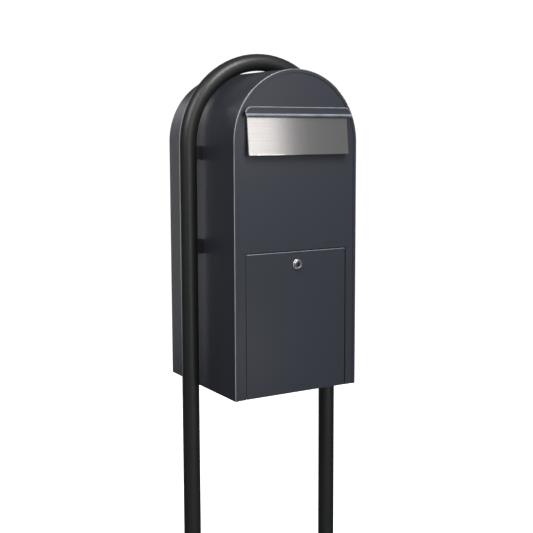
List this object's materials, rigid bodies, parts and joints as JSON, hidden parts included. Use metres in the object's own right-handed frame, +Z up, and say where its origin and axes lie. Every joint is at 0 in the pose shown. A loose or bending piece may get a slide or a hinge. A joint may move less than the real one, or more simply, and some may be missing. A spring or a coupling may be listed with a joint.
{
  "type": "free-standing letter and parcel box",
  "caption": "Round-topped sheet-steel letter and parcel box hung in an inverted-U tube stand, with a hooded drop-in flap, a drop-down door and a cam lock.",
  "frame": {"origin": "on the floor, at the centre of the anchor holes, straight below the hoop's middle", "axes": "+Z up, the front of the box with its flap and door faces -Y, +X is to the right seen from the front"},
  "size_m": [0.445, 0.326, 1.3413],
  "materials": {
    "body_paint": "anthracite powder coat, fine satin",
    "tube_paint": "black powder coat, satin",
    "spacer_plastic": "black moulded plastic",
    "flap_steel": "stainless, brushed along the slot",
    "zinc_steel": "zinc plated",
    "lock_chrome": "polished",
    "rubber_black": "matt"
  },
  "bodies": {
    "mailbox": {"hoop_tube": "tube_paint", "foot_plate_left": "tube_paint", "foot_plate_right": "tube_paint", "spacer_left_lower": "spacer_plastic", "spacer_left_upper": "spacer_plastic", "spacer_right_lower": "spacer_plastic", "spacer_right_upper": "spacer_plastic", "stand_screws": "zinc_steel", "stand_washers": "zinc_steel", "stand_inserts": "zinc_steel", "body_shell": "body_paint", "back_panel": "body_paint", "bottom_panel": "body_paint", "front_panel": "body_paint", "lock_keeper": "body_paint", "slot_hood": "body_paint", "mail_slide": "body_paint", "flap_bracket_left": "body_paint", "flap_bracket_right": "body_paint", "flap_rod": "zinc_steel", "rod_clips": "zinc_steel", "flap_bumpers": "rubber_black", "door_buffers": "rubber_black", "hinge_body_leaf_left": "body_paint", "hinge_body_leaf_right": "body_paint", "hinge_pin_left": "zinc_steel", "hinge_pin_right": "zinc_steel"},
    "flap": {"slot_flap": "flap_steel"},
    "door": {"door_panel": "body_paint", "lock_plate": "body_paint", "lock_housing": "lock_chrome", "lock_nut": "zinc_steel", "hinge_door_leaf_left": "body_paint", "hinge_door_leaf_right": "body_paint"},
    "lock_core": {"lock_plug": "lock_chrome", "lock_cam": "zinc_steel", "cam_screw": "zinc_steel"}
  },
  "joints": [
    {"name": "flap_hinge", "type": "hinge", "parent": "mailbox", "child": "flap", "pos_m": [0, -0.1574, 1.203], "axis": [-1, 0, 0], "range_deg": [0, 48]},
    {"name": "door_hinge", "type": "hinge", "parent": "mailbox", "child": "door", "pos_m": [0, -0.1505, 0.6045], "axis": [1, 0, 0], "range_deg": [0, 110]},
    {"name": "lock_turn", "type": "hinge", "parent": "door", "child": "lock_core", "pos_m": [0, -0.15, 0.883], "axis": [0, -1, 0], "range_deg": [0, 90]}
  ]
}
